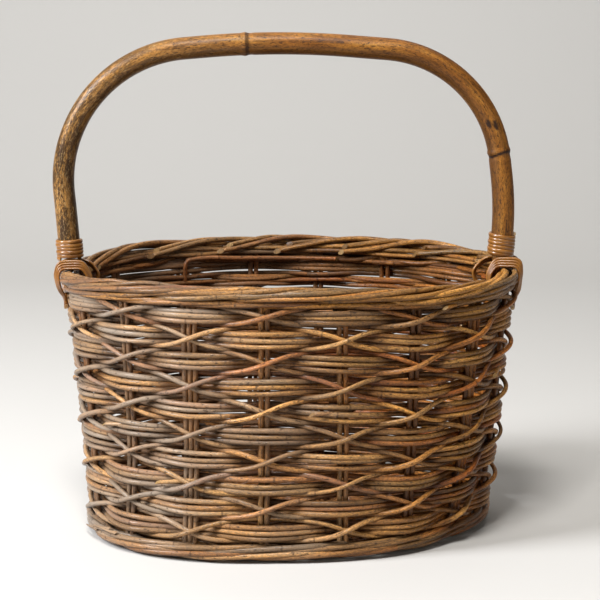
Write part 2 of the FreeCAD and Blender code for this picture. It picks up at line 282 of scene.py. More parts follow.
class Rods:
    """Tubes gathered into one mesh, with each rod's own tones and its grain's coordinates.

    wear is 1 on bare cut wood, and on the pole in a dark ring or scar. under is 1 where a rod faces
    down, and there its colour is darkened as painted shade."""

    def __init__(self):
        self.points, self.faces, self.grain = [], [], []
        self.tone, self.wear, self.under = [], [], []
        self.count = 0

    def add(self, points, radius, tone, sides=10, wide=1.0, flat=None, cut=0.0, facing=None):
        """A tube along the points. radius may vary along it. wide and flat stretch its section
        across and along a direction given for each point; cut slants its ends, and facing is the
        way that the slant at the last point faces."""
        direction, side, up = frames_along(points)
        if flat is not None:
            up = flat - direction * np.sum(flat * direction, axis=1)[:, None]
            up /= np.linalg.norm(up, axis=1)[:, None]
            side = np.cross(up, direction)
        n = len(points)
        radius = np.broadcast_to(np.asarray(radius, float), (n,))
        around = 2 * math.pi * np.arange(sides) / sides
        across = np.cos(around)[None, :, None] * side[:, None, :] * wide
        above = np.sin(around)[None, :, None] * up[:, None, :]
        ring = points[:, None, :] + (across + above) * radius[:, None, None]
        if cut:
            slant = np.cos(around + 1.0)[:, None] * cut
            ring[0] += slant * radius[0] * direction[0]
            if facing is None:
                ring[-1] += slant * radius[-1] * direction[-1]
            else:
                ring[-1] -= ((ring[-1] - points[-1]) @ facing * cut)[:, None] * direction[-1]
        start = tone[3] * GRAIN_SHIFT
        grain = unrolled(around, radius, lengths_along(points))
        grain = grain * (wide, 1, 1) + (start, start * 0.7, start)
        # Painted shade on the side of a rod that faces down.
        drop = -(across + above)[..., 2] / wide
        under = np.clip(drop, 0, 1) ** 1.4
        self.shell(ring, grain, np.tile(np.array(tone), (n * sides, 1)), np.zeros(n * sides), under)
        for end in (0, 1):
            self.cap(ring[-end], direction[-end] * (2 * end - 1), radius[-end], tone, end)

    def shell(self, ring, grain, tone, wear, under, outward=True):
        """The side of a tube, from its rings of points and what is written at each point."""
        n, sides = ring.shape[:2]
        self.points.append(ring.reshape(-1, 3))
        self.grain.append(grain.reshape(-1, 3))
        self.tone.append(tone)
        self.wear.append(wear)
        self.under.append(under.ravel())
        i = np.arange(n - 1)[:, None] * sides + self.count
        j = np.arange(sides)[None, :]
        k = (j + 1) % sides
        quads = np.stack([i + j, i + k, i + sides + k, i + sides + j], axis=-1).reshape(-1, 4)
        self.faces += (quads if outward else quads[:, [0, 3, 2, 1]]).tolist()
        self.count += n * sides

    def cap(self, ring, outward, radius, tone, end):
        """Closes an end with a shallow fan of its own, as wood that was cut or snapped."""
        sides = len(ring)
        centre = ring.mean(axis=0) + outward * radius * 0.12
        self.points.append(np.vstack([ring, centre]))
        self.grain.append(self.points[-1] + tone[3] * GRAIN_SHIFT)
        self.tone.append(np.tile(np.array(tone), (sides + 1, 1)))
        self.wear.append(np.ones(sides + 1))
        self.under.append(np.zeros(sides + 1))
        first, tip = self.count, self.count + sides
        self.count += sides + 1
        for j in range(sides):
            k = (j + 1) % sides
            pair = (first + j, first + k) if end else (first + k, first + j)
            self.faces.append([pair[0], pair[1], tip])

    def piece(self, name, material, slot, *nodes):
        """Makes the gathered rods one object of the basket."""
        points = np.concatenate(self.points)
        mesh = smooth_mesh(name, points.tolist(), self.faces, material)
        out = outside(points)
        above = np.maximum(points[:, 2] - OPEN_LEVEL, 0) * 0.8
        # Painted shade: darker near the wall's middle and on the undersides of rods.
        sunk_shade = np.clip(1 - np.hypot(out, above) / SUNK_DEPTH, 0, 1)
        sunk_shade = np.maximum(sunk_shade, 0.15 + 0.75 * np.concatenate(self.under))
        # Painted shade inside the wall, fading out towards the top.
        inward = np.clip(-out / INSIDE_DEPTH, 0, 1)
        inward *= np.clip((INSIDE_TOP - points[:, 2]) / INSIDE_FADE, 0, 1)
        for key, kind, values in (
            ("grain", "FLOAT_VECTOR", np.concatenate(self.grain)),
            ("tone", "FLOAT_COLOR", np.concatenate(self.tone)),
            ("cut_end", "FLOAT", np.concatenate(self.wear)),
            ("sunk_shade", "FLOAT", sunk_shade),
            ("inward", "FLOAT", inward),
        ):
            layer = mesh.attributes.new(key, kind, "POINT")
            field = {"FLOAT_VECTOR": "vector", "FLOAT_COLOR": "color", "FLOAT": "value"}[kind]
            layer.data.foreach_set(field, values.astype(np.float32).ravel())
        mesh.update()
        obj = put(name, mesh)
        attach(obj, BODY)
        if nodes:
            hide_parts(*nodes)


def new_tone(low=0.0, high=1.0):
    """A rod's own hue, brightness and greyness, and a number that shifts its grain."""
    return (rng.uniform(low, high), rng.random(), rng.random(), rng.random())


# ---- materials

class Maker:
    """A new material, and short calls for making its nodes."""

    def __init__(self, name):
        self.material = bpy.data.materials.new(name)
        self.material.use_nodes = True
        self.tree = self.material.node_tree
        self.shader = self.tree.nodes["Principled BSDF"]

    def add(self, kind, sockets=None, **values):
        """A node with its settings. Each of its sockets named is linked or set."""
        node = self.tree.nodes.new("ShaderNode" + kind)
        for key, value in values.items():
            setattr(node, key, value)
        for key, value in (sockets or {}).items():
            if isinstance(value, bpy.types.NodeSocket):
                self.tree.links.new(value, node.inputs[key])
            else:
                node.inputs[key].default_value = value
        return node

    def drive(self, name, source):
        """Links a socket of the shader."""
        self.tree.links.new(source, self.shader.inputs[name])

    def varnish(self, specular, weight, roughness):
        """Gives the shader its specular level and a coat."""
        self.shader.inputs["Specular IOR Level"].default_value = specular
        self.shader.inputs["Coat Weight"].default_value = weight
        self.shader.inputs["Coat Roughness"].default_value = roughness

    def attribute(self, name, output="Fac"):
        return self.add("Attribute", attribute_name=name).outputs[output]

    def tones(self):
        """A rod's own hue, brightness and greyness."""
        node = self.add("SeparateColor", {"Color": self.attribute("tone", "Color")})
        return node.outputs["Red"], node.outputs["Green"], node.outputs["Blue"]

    def axis(self, vector, name):
        """One coordinate of a vector."""
        return self.add("SeparateXYZ", {"Vector": vector}).outputs[name]

    def noise(self, vector, scale, detail=3.0, roughness=0.55):
        sockets = {"Vector": vector, "Scale": scale, "Detail": detail, "Roughness": roughness}
        return self.add("TexNoise", sockets).outputs["Fac"]

    def figure(self, grain, across, along, detail=3.0, roughness=0.55):
        """Noise in a rod's own grain, with a scale across the rod and one along it."""
        node = self.add("Mapping", {"Vector": grain, "Scale": (across, across, along)})
        return self.noise(node.outputs["Vector"], 1.0, detail, roughness)

    def ramp(self, value, stops):
        """A colour that follows the value through stops of a place and a colour or grey."""
        node = self.add("ValToRGB", {"Fac": value})
        elements = node.color_ramp.elements
        while len(elements) < len(stops):
            elements.new(0.5)
        for element, (place, colour) in zip(elements, stops):
            element.position = place
            element.color = (*colour, 1.0) if isinstance(colour, tuple) else (colour,) * 3 + (1.0,)
        return node.outputs["Color"]

    def mix(self, factor, a, b, blend="MIX"):
        a, b = ((*value, 1.0) if isinstance(value, tuple) else value for value in (a, b))
        sockets = {0: factor, 6: a, 7: b}
        return self.add("Mix", sockets, data_type="RGBA", blend_type=blend).outputs[2]

    def times(self, a, b):
        return self.mix(1.0, a, b, "MULTIPLY")

    def shade(self, colour, value, stops):
        """The colour times the grey or tint that the stops give for the value."""
        return self.times(colour, self.ramp(value, stops))

    def stain(self, colour, value, stops, tint):
        """The colour with the tint over it, as much as the stops say for the value."""
        return self.mix(self.ramp(value, stops), colour, tint)

    def rings(self, grain, often, width):
        """Narrow rings across a rod at uneven distances, about `often` to a metre."""
        sockets = {"Scale": often, "W": self.axis(grain, "Z")}
        settings = {"voronoi_dimensions": "1D", "feature": "DISTANCE_TO_EDGE"}
        cells = self.add("TexVoronoi", sockets, **settings)
        return self.ramp(cells.outputs["Distance"], [(0.0, 1.0), (width, 0.0)])

    def math(self, operation, a, b=0.0, c=0.0, clamp=False):
        sockets = {0: a, 1: b, 2: c}
        return self.add("Math", sockets, operation=operation, use_clamp=clamp).outputs[0]

    def bump(self, height, strength, distance, **below):
        sockets = {"Height": height, "Strength": strength, "Distance": distance, **below}
        return self.add("Bump", sockets).outputs["Normal"]


# Colours of what is the same on every rod: specks, growth rings, faded grey wood that also stands for
# painted sheen, the ends of rods that were cut long ago or lately, and painted shade inside the wall.
SPECK = (0.030, 0.013, 0.006)
GROWTH_RING = (0.035, 0.015, 0.007)
FADED_AND_SHEEN = (0.270, 0.215, 0.165)
OLD_CUT = (0.12, 0.055, 0.016)
FRESH_CUT = (0.36, 0.22, 0.085)
INSIDE_SHADE = (0.74, 0.58, 0.46)


def rod_material(name, hues, grey_amount, gloss, shaded=0.34):
    """Varnished willow or rattan rod: hue of its own, grain, specks, growth rings, greying with
    painted sheen, and painted shade.
    """
    make = Maker(name)
    hue, bright, grey = make.tones()
    grain = make.attribute("grain", "Vector")
    place = make.add("TexCoord").outputs["Object"]

    colour = make.ramp(hue, [(i / (len(hues) - 1), c) for i, c in enumerate(hues)])
    patch = make.figure(grain, 60, 24)
    colour = make.stain(colour, patch, [(0.40, 0.0), (0.70, 0.6)], hues[1])
    streak = make.figure(grain, 900, 40, 4.0, 0.6)
    shades = make.ramp(streak, [(0.25, 0.42), (0.52, 1.0), (0.75, 1.45)])
    colour = make.times(colour, shades)
    bark = make.figure(grain, 950, 430, 5.0, 0.75)
    colour = make.shade(colour, bark, [(0.36, 0.48), (0.50, 0.95), (0.64, 1.65)])
    colour = make.times(colour, make.math("MULTIPLY_ADD", bright, 1.04, 0.68))

    # Grey fading, partly each rod's own and partly painted sheen from the window light, laid on most
    # at the left end.
    leftwards = make.math("MULTIPLY_ADD", make.axis(place, "X"), -2.7, 0.36, clamp=True)
    cloud = make.noise(place, 14.0, 2.0)
    fading_and_sheen = make.math("MULTIPLY", make.math("MULTIPLY_ADD", grey, 1.4, 0.8), cloud)
    fading_and_sheen = make.math("MULTIPLY", fading_and_sheen, leftwards)
    fading_and_sheen = make.math("MULTIPLY", fading_and_sheen, grey_amount, clamp=True)
    colour = make.mix(fading_and_sheen, colour, FADED_AND_SHEEN)

    fleck = make.figure(grain, 520, 230, 2.0, 0.65)
    colour = make.stain(colour, fleck, [(0.60, 0.0), (0.66, 0.75)], SPECK)
    knot = make.rings(grain, 5.0, 0.005)
    colour = make.mix(make.math("MULTIPLY", knot, 0.7), colour, GROWTH_RING)
    # Painted shade, darker and warmer, where rods lie deep in the wall or face down.
    shade_colour = (shaded, shaded * 0.78, shaded * 0.55)
    colour = make.shade(colour, make.attribute("sunk_shade"), [(0.15, 1.0), (0.95, shade_colour)])
    # Painted shade on rods inside the wall.
    colour = make.shade(colour, make.attribute("inward"), [(0.0, 1.0), (1.0, INSIDE_SHADE)])
    bare = make.times(make.mix(bright, OLD_CUT, FRESH_CUT), shades)
    colour = make.mix(make.attribute("cut_end"), colour, bare)
    make.drive("Base Color", colour)

    rough = make.ramp(streak, [(0.3, gloss + 0.16), (0.7, gloss - 0.06)])
    make.drive("Roughness", rough)
    make.varnish(0.22, 0.20, 0.16)
    fine = make.bump(bark, 0.9, 0.0007)
    lumps = make.bump(patch, 0.7, 0.0012, Normal=fine)
    make.drive("Normal", make.bump(knot, 0.6, 0.0004, Normal=lumps))
    return make.material


POLE_HUES = [(0.30, (0.100, 0.034, 0.004)), (0.45, (0.185, 0.067, 0.009)),
             (0.58, (0.258, 0.103, 0.015)), (0.72, (0.360, 0.172, 0.033))]
OCHRE = (0.46, 0.255, 0.078)
POLE_UNDER_SHADE = (0.060, 0.024, 0.005)
MOTTLE = (0.024, 0.011, 0.004)
BLEACH = (0.45, 0.31, 0.15)
POLE_SPECK = (0.040, 0.015, 0.004)
POLE_SPOT = (0.070, 0.026, 0.006)
POLE_RING = (0.016, 0.006, 0.003)


def pole_material():
    """Thick varnished rattan: orange brown with painted shade inside its bend, with ochre, bleached
    flecks and dark mottling on the left leg."""
    make = Maker("rattan_pole")
    grain = make.attribute("grain", "Vector")
    place = make.add("TexCoord").outputs["Object"]
    left = make.math("MULTIPLY_ADD", make.axis(place, "X"), -5.5, -0.05)
    left = make.math("MAXIMUM", left, 0.0, clamp=True)

    broad = make.figure(grain, 90, 16, 5.0, 0.65)
    colour = make.ramp(broad, POLE_HUES)
    colour = make.mix(left, colour, make.mix(0.5, OCHRE, colour))
    streak = make.figure(grain, 620, 26, 5.0, 0.65)
    colour = make.shade(colour, streak, [(0.34, 0.60), (0.50, 1.0), (0.68, 1.25)])
    fine = make.figure(grain, 900, 420, 4.0, 0.75)
    colour = make.shade(colour, fine, [(0.36, 0.60), (0.62, 1.25)])
    # Painted shade on the side of the pole that faces into its bend.
    bend_shade = make.attribute("tone")
    colour = make.mix(make.math("MULTIPLY", bend_shade, 0.58), colour, POLE_UNDER_SHADE)
    cluster = make.figure(grain, 170, 34, 3.0, 0.6)
    mottle = make.figure(grain, 1300, 330, 5.0, 0.80)
    mottle = make.math("MULTIPLY_ADD", cluster, 0.8, mottle)
    shade = make.math("MULTIPLY", make.ramp(mottle, [(0.84, 0.0), (0.92, 0.96)]), left)
    colour = make.mix(shade, colour, MOTTLE)
    bleach = make.figure(grain, 1100, 260, 5.0, 0.78)
    bleach = make.math("MULTIPLY", make.ramp(bleach, [(0.56, 0.0), (0.63, 0.8)]), left)
    colour = make.mix(bleach, colour, BLEACH)
    fleck = make.figure(grain, 760, 230, 2.0, 0.7)
    colour = make.stain(colour, fleck, [(0.57, 0.0), (0.62, 0.85)], POLE_SPECK)
    spots = make.figure(grain, 170, 60, 5.0, 0.7)
    colour = make.stain(colour, spots, [(0.58, 0.0), (0.68, 0.5)], POLE_SPOT)
    colour = make.mix(make.attribute("cut_end"), colour, POLE_RING)
    make.drive("Base Color", colour)

    sheen = make.math("MULTIPLY_ADD", left, -0.15, 0.58)
    make.drive("Roughness", make.math("MULTIPLY_ADD", streak, -0.15, sheen))
    make.varnish(0.22, 0.10, 0.28)
    grainy = make.bump(fine, 0.5, 0.0004)
    make.drive("Normal", make.bump(broad, 0.6, 0.0018, Normal=grainy))
    return make.material


CANE_HUES = [(0.0, (0.190, 0.066, 0.009)), (0.5, (0.240, 0.092, 0.014)), (1.0, (0.310, 0.132, 0.024))]
CANE_STAIN = (0.13, 0.045, 0.010)
CANE_CUT = (0.55, 0.38, 0.20)


def cane_material():
    """Glossy split cane, honey to orange, with fine lines along each strand."""
    make = Maker("split_cane")
    grain = make.attribute("grain", "Vector")
    hue, _, _ = make.tones()
    colour = make.ramp(hue, CANE_HUES)
    line = make.figure(grain, 2400, 16, 4.0, 0.6)
    colour = make.shade(colour, line, [(0.28, 0.52), (0.55, 1.0), (0.8, 1.25)])
    stain = make.figure(grain, 180, 60)
    colour = make.stain(colour, stain, [(0.50, 0.0), (0.66, 0.65)], CANE_STAIN)
    colour = make.mix(make.attribute("cut_end"), colour, CANE_CUT)
    make.drive("Base Color", colour)
    make.drive("Roughness", make.ramp(line, [(0.3, 0.40), (0.7, 0.24)]))
    make.varnish(0.5, 0.4, 0.2)
    make.drive("Normal", make.bump(line, 0.4, 0.0002))
    return make.material


GREY_BROWN = (0.205, 0.116, 0.043)
DARK_BROWN = (0.112, 0.041, 0.007)
BROWN = (0.220, 0.090, 0.014)
TAN = (0.360, 0.184, 0.050)
HONEY = (0.400, 0.188, 0.042)
REDDISH = (0.245, 0.070, 0.010)

WEAVE = rod_material("weave_rod", [GREY_BROWN, BROWN, TAN, HONEY, REDDISH], 1.0, 0.40)
STAKE = rod_material("stake_rod", [DARK_BROWN, BROWN, GREY_BROWN], 0.75, 0.38, 0.95)
RIM_HUES = [BROWN, HONEY, DARK_BROWN, GREY_BROWN, BROWN, REDDISH]
RIM = rod_material("rim_rod", RIM_HUES, 0.34, 0.34, 0.22)
BASE = rod_material("base_rod", [GREY_BROWN, BROWN, TAN], 0.3, 0.5)
POLE = pole_material()
CANE = cane_material()


# ---- stakes

STAKE_FOOT = 5 * MM
STAKE_TOP = 209 * MM
TRIPLE_STAKES = (3, 10, 15)
PAIR_PITCH = 2.25 * STAKE_RADIUS
TRIPLE_PITCH = 2.02 * STAKE_RADIUS


def make_stakes():
    """Pairs of upright rods, some of three, from the foot to the border."""
    heights = np.linspace(STAKE_FOOT, STAKE_TOP, 50)
    for number in range(STAKES):
        rods = Rods()
        triple = number in TRIPLE_STAKES
        count, pitch, thin = (3, TRIPLE_PITCH, 0.94) if triple else (2, PAIR_PITCH, 1.0)
        for i in range(count):
            gap = (i - (count - 1) / 2) * pitch
            wobble = smooth_noise(heights, rng.random(), 0.13)
            turn = stake_turn(number) + (gap + wobble * 0.35 * MM) / GIRTH
            points = on_wall(turn, wobble[::-1] * 0.3 * MM, heights)
            radius = STAKE_RADIUS * rng.uniform(0.93, 1.06) * thin
            rods.add(even_steps(points, 4 * MM), radius, new_tone(), cut=0.3)
        name = f"stake_pair_{number + 1:02d}"
        rods.piece("rods_" + name, STAKE, "stake", name)


# ---- weaving

BUNDLE_SWING = STAKE_RADIUS + ROD_RADIUS + 0.5 * MM
STEP = 2.4 * MM
TAIL = 0.16
TAIL_SINK = 1.8 * MM
# Rods that fill the gap above a bundle: how high over its middle they lie, how far they swing, and
# the stakes they pass, round the back and both ends.
PACKING_RISES = (7.9 * MM, 11.0 * MM)
PACKING_SWING = 0.6 * BUNDLE_SWING
PACKING_START = 3
PACKING_LENGTH = 10


def stretches(parity, phase):
    """Splits one lap into lengths of rod that end behind stakes of the given parity."""
    stakes = [s for s in range(STAKES) if s % 2 == parity]
    first = stakes[phase % len(stakes)]
    middle = first + rng.choice((6, 8, 10))
    return [(first, middle), (middle, first + STAKES)]


def lay(rods, start, end, shape, radius, tone):
    """One length of rod between two stakes, whose ends pass them a little way, further inside."""
    low, high = start - TAIL, end + TAIL
    steps = int((high - low) * PITCH / STEP)
    place = np.linspace(low, high, steps)
    out, height = shape(place)
    near = np.minimum(place - low, high - place) / (2.2 * TAIL)
    out = out - TAIL_SINK * np.clip(1 - near, 0, 1) ** 2
    points = on_wall(stake_turn(place), out, height)
    taper = np.linspace(1.06, 0.92, steps) if rng.random() < 0.5 else np.linspace(0.92, 1.06, steps)
    wave = 1 + 0.03 * smooth_noise(place, rng.random(), 1.7)
    rods.add(points, radius * taper * wave, tone, cut=0.5)


def make_row(number):
    """A bundle of three rods, in front of every second stake and behind the others, which stand
    further apart at the stakes than between them."""
    rods = Rods()
    middle = FIRST_ROW + number * ROW_PITCH
    sag_seed = rng.random()
    for i in (-1, 0, 1):
        for start, end in stretches((number + 1) % 2, rng.randrange(8)):
            seed = rng.random()

            def shape(place, i=i, seed=seed):
                wave = np.cos(math.pi * (place - number))
                out = BUNDLE_SWING * wave + smooth_noise(place, seed, 2.3) * 0.6 * MM
                spread = (2.06 + 0.20 * wave**2 + 0.26 * np.clip(-wave, 0, 1) ** 2) * ROD_RADIUS
                height = middle + i * spread + smooth_noise(place, seed + 1, 3.1) * 0.75 * MM
                return out, height + smooth_noise(place, sag_seed, 5.0) * 0.5 * MM

            lay(rods, start, end, shape, ROD_RADIUS * rng.uniform(0.92, 1.12), new_tone())

    first = PACKING_START + number % 2
    for rise in PACKING_RISES:
        seed = rng.random()

        def packing(place, rise=rise, seed=seed):
            out = PACKING_SWING * np.cos(math.pi * (place - number))
            return out, middle + rise + smooth_noise(place, seed, 2.3) * 0.7 * MM

        lay(rods, first, first + PACKING_LENGTH, packing, 0.95 * ROD_RADIUS, new_tone())
    name = f"weave_row_{number + 1:02d}"
    rods.piece("rods_" + name, WEAVE, "weave", name)


CROSS_SWING = STAKE_RADIUS + CROSS_RADIUS + 0.2 * MM
CROSS_RISE = 8.9 * MM
# How steeply the two rods cross, against how flat they run between crossings.
CROSS_SHARP = 1.5


def make_crossing(number):
    """Two rods that cross outside the stakes behind which the bundle passes."""
    rods = Rods()
    middle = FIRST_ROW + number * ROW_PITCH
    for way in (1, -1):
        for start, end in stretches(number % 2, rng.randrange(8)):
            seed = rng.random()

            def shape(place, way=way, seed=seed):
                phase = place - number - 1
                wave = np.cos(math.pi * phase)
                climb = np.tanh(CROSS_SHARP * np.sin(math.pi / 2 * phase)) / math.tanh(CROSS_SHARP)
                rising = way * np.cos(math.pi / 2 * phase) > 0
                over = np.clip(wave, 0, 1) ** 3 * np.where(rising, 1.0, 0.0)
                out = CROSS_SWING * wave + 2 * CROSS_RADIUS * over
                height = middle + way * CROSS_RISE * climb
                wobble = smooth_noise(place, seed, 2.7)
                return out + wobble * 0.3 * MM, height + smooth_noise(place, seed + 1, 2.1) * 0.6 * MM

            hue, bright, grey, shift = new_tone()
            tone = (hue, 0.3 + 0.7 * bright, grey, shift)
            lay(rods, start, end, shape, CROSS_RADIUS * rng.uniform(0.86, 1.08), tone)
    name = f"cross_pair_{number + 1:02d}"
    rods.piece("rods_" + name, WEAVE, "weave", name)


# ---- wales

# All in stake pitches: the stake where a wale begins, how far its ends pass that stake, half the
# width of a strand's dip to the inside, and how far it takes to climb over the other two.
WALE_START = 10.0
WALE_TAIL = 0.4
WALE_DIP = 0.52
WALE_CLIMB = 2.45


def make_wale(label, low, rounds, radius, material, slot):
    """A wale of three rods, each outside two stakes and inside the third, climbing as it goes."""
    rods = Rods()
    swing = STAKE_RADIUS + radius + 0.2 * MM
    lift = 2 * radius * 0.98
    start, end = WALE_START, WALE_START + STAKES * rounds
    for strand in range(3):
        seed = rng.random()
        steps = int(STAKES * rounds * PITCH / STEP)
        place = np.linspace(start - WALE_TAIL, end + WALE_TAIL, steps)
        phase = np.mod(place - strand, 3.0)
        inside = np.exp(-((phase - 1.5) / WALE_DIP) ** 2)
        out = swing * (1 - 2 * inside) + smooth_noise(place, seed, 2.9) * 0.25 * MM
        since = np.mod(place - strand - 1.5, 3.0)
        step = np.where(since < WALE_CLIMB, since / WALE_CLIMB, (3.0 - since) / (3.0 - WALE_CLIMB))
        step = 0.5 - 0.5 * np.cos(math.pi * np.clip(step, 0, 1))
        lap = (place - start) / STAKES
        height = low + radius + lift * step + 2 * lift * np.maximum(lap, 0) * (rounds - 1) / rounds
        height += smooth_noise(place, seed + 1, 4.0) * 0.25 * MM
        points = on_wall(stake_turn(place), out, height)
        cuts = np.linspace(0, len(place) - 1, 2 * rounds + 1).astype(int)
        for a, b in zip(cuts, cuts[1:]):
            rods.add(points[a : b + 1], radius * rng.uniform(0.95, 1.05), new_tone(), cut=0.3)
    rods.piece("rods_" + label, material, slot, label)


# ---- border

# Rows of place in stake pitches from the rod's own stake, then outward and height in millimetres,
# then the half gap of its pair along the wall, outward and upward.
BORDER_PATH = [
    (-0.06, 0.0, 201.0, 2.2, 0.0, 0.0),
    (0.02, 0.0, 206.5, 2.2, 0.0, 0.3),
    (0.16, -0.8, 210.2, 1.0, 0.0, 1.7),
    (0.45, -3.2, 211.8, 0.0, 0.3, 2.1),
    (0.95, -4.6, 212.6, 0.0, 0.4, 2.1),
    (1.35, -1.2, 212.4, 0.0, 1.5, 1.8),
    (1.70, 4.0, 212.2, 0.0, 1.0, 2.1),
    (2.05, 5.9, 213.2, 0.0, 0.0, 2.3),
    (2.60, 6.0, 216.2, 0.0, -0.3, 2.3),
    (3.05, 5.0, 219.2, 0.0, -1.0, 2.1),
    (3.45, 1.8, 221.6, 0.0, -2.1, 0.9),
    (3.80, -2.6, 221.4, 0.0, -2.1, -0.8),
    (4.15, -6.2, 218.2, 0.0, -1.0, -2.0),
    (4.50, -8.2, 214.6, 0.0, -0.4, -2.2),
    (4.80, -9.0, 211.0, 0.0, -0.2, -2.2),
]


def make_border():
    """Each pair of stakes bends over to the right, passes inside the next stake and outside two
    more, rises over the top and ends inside, cut on a slant that faces the middle."""
    rods = Rods()
    for number in range(STAKES):
        for side in (-1, 1):
            end = rng.uniform(4.25, 4.7)
            place = np.linspace(-0.06, end, 150)
            values = spline(BORDER_PATH, place)
            seed = rng.random()
            wobble = smooth_noise(place, seed, 1.6)
            lift = smooth_noise(place, seed + 1, 1.9) * 1.25
            turn = stake_turn(number + place) + side * values[:, 2] * MM / GIRTH
            out = (values[:, 0] + side * values[:, 3] + wobble) * MM
            height = (values[:, 1] + side * values[:, 4] + lift) * MM
            points = even_steps(on_wall(turn, out, height), STEP)
            taper = np.linspace(0.98, 1.06, len(points))
            hue, bright, grey, shift = new_tone()
            tone = (hue, 0.9 * bright**1.8, grey, shift)
            inwards = Vector((*-points[-1][:2], 0)).normalized()
            facing = np.array((inwards + Vector((0, 0, 0.4))).normalized())
            radius = BORDER_RADIUS * rng.uniform(0.78, 1.02) * taper
            rods.add(points, radius, tone, cut=1.5, facing=facing)
    rods.piece("rods_rim_border", RIM, "rim", "rim_border")


# Rows of how many stakes before BENT_STAKE, then outward and height in millimetres.
BENT_STAKE = 10.0
BENT_PATH = [(0.0, -5.0, 185.0), (0.0, -6.6, 193.0), (0.0, -8.4, 201.0), (0.03, -8.6, 204.6),
             (0.12, -8.5, 205.5), (0.8, -8.4, 205.0), (1.6, -8.4, 204.5), (2.3, -6.5, 204.0)]
# Rows of stake number and the heights in millimetres of a splinter's two ends.
SPLINTERS = [(-2.75, 12.5, 15.0), (-2.9, 9.0, 13.0), (-2.6, 14.0, 13.5), (-3.1, 7.0, 9.5)]
# Rows of stake number and height in millimetres of a short end outside the wall.
SHORT_ENDS = [(2.35, 203.0), (-1.45, 62.0), (0.6, 118.0), (3.4, 137.0), (-2.4, 99.0)]


def make_strays():
    """Loose ends: a stake's rod that bends over sharply inside the back wall, frayed splinters
    at the front left of the foot, and short cut ends outside the wall."""
    rods = Rods()
    keys = np.array(BENT_PATH)
    path = on_wall(stake_turn(BENT_STAKE - keys[:, 0]), keys[:, 1] * MM, keys[:, 2] * MM)
    lengths = lengths_along(path)
    smooth = spline(np.c_[lengths, path], np.linspace(0, lengths[-1], 90))
    rods.add(even_steps(smooth, STEP), 2.0 * MM, (0.9, 0.5, 0.1, 0.4), cut=0.6)
    for number, low, high in SPLINTERS:
        place = np.linspace(number, number + 0.42, 14)
        height = np.linspace(low, high, 14)
        points = on_wall(stake_turn(place), np.linspace(9.8, 7.2, 14) * MM, height * MM)
        tone = (0.4, 0.9, 0.6, rng.random())
        rods.add(points, np.linspace(0.5, 1.5, 14) * MM, tone, sides=6, cut=1.5)
    for number, level in SHORT_ENDS:
        place = np.linspace(number, number + 0.55, 20)
        out = np.linspace(8.6, -1.0, 20)
        points = on_wall(stake_turn(place), out * MM, (level + np.linspace(0, 2.4, 20)) * MM)
        rods.add(points, np.linspace(1.5, 1.9, 20) * MM, new_tone(), cut=1.6)
    rods.piece("stray_rods", WEAVE, "weave")


# ---- base

BASE_LEVEL = 10.9 * MM
BASE_ROD = 1.9 * MM
MAT_ROD = 1.85 * MM
BASE_CORE = 82 * MM
CROSS_STICKS = 7
CROSS_PITCH = 26 * MM
LONG_REACH = 150 * MM
LONG_PITCH = 4.6 * MM
LONG_WAVE = 3.6 * MM
# How far each long stick fans out at its ends, as a part of FAN_WIDTH.
LONG_FAN = (-0.42, -0.2, 0.0, 0.2, 0.42)
FAN_WIDTH = 120 * MM
MAT_OVALS = 23
MAT_SPOKES = 24
MAT_WAVE = 2.7 * MM


def make_cross_sticks():
    """Sticks across the base in pairs, each of two halves that meet in the middle."""
    sticks = Rods()
    edge = on_wall(np.linspace(0, 1, 721), -6.5 * MM, BASE_LEVEL)
    for i in range(CROSS_STICKS):
        x = (i - (CROSS_STICKS - 1) / 2) * CROSS_PITCH
        for half in (-1, 1):
            side = edge[edge[:, 1] * half > 0]
            side = side[np.argsort(side[:, 0])]
            y = float(np.interp(x, side[:, 0], side[:, 1]))
            points = np.array([(x, y * part, BASE_LEVEL) for part in (0.0, 0.5, 0.97)])
            for gap in (-2.0 * MM, 2.0 * MM):
                sticks.add(even_steps(points + (gap, 0, 0), 6 * MM), BASE_ROD, new_tone(), cut=0.3)
    sticks.piece("rods_base_cross_sticks", BASE, "stake", "base_cross_sticks")


def make_long_sticks():
    """Sticks along the base, over and under the cross sticks, that fan out at their ends."""
    sticks = Rods()
    reach = (CROSS_STICKS / 2) * CROSS_PITCH
    for k, spread in enumerate(LONG_FAN):
        x = np.linspace(-1, 1, 90) * LONG_REACH * (1 - 0.35 * spread**2)
        away = np.clip((np.abs(x) - BASE_CORE) / (LONG_REACH - BASE_CORE), 0, 1)
        y = (k - 2) * LONG_PITCH + spread * away * FAN_WIDTH
        height = BASE_LEVEL + LONG_WAVE * np.cos(math.pi * (x / CROSS_PITCH)) * (np.abs(x) < reach)
        points = even_steps(np.stack([x, y, height], axis=1), 3 * MM)
        sticks.add(points, BASE_ROD, new_tone(), cut=0.3)
    sticks.piece("rods_base_long_sticks", BASE, "stake", "base_long_sticks")


def make_mat():
    """Fine rods woven round the sticks in ovals, from the middle line of the base to its edge."""
    mat = Rods()
    turn = np.linspace(0, 1, 420)
    edge = on_wall(turn, -7.5 * MM, BASE_LEVEL)
    core_x = np.clip(edge[:, 0] * 0.62, -BASE_CORE, BASE_CORE)
    for k in range(MAT_OVALS):
        share = 0.13 + 0.87 * k / (MAT_OVALS - 1)
        x = core_x + (edge[:, 0] - core_x) * share
        wave = np.cos(math.pi * (turn * MAT_SPOKES + k)) * MAT_WAVE
        points = np.stack([x, edge[:, 1] * share, BASE_LEVEL + wave], axis=1)
        points = even_steps(np.roll(points[:-1], rng.randrange(0, 400), axis=0), 3.4 * MM)
        mat.add(points, MAT_ROD * rng.uniform(0.93, 1.05), new_tone(), sides=8, cut=0.3)
    mat.piece("rods_base_mat", BASE, "weave", "base_mat")


# ---- handle

TONGUE_LOW = 128 * MM
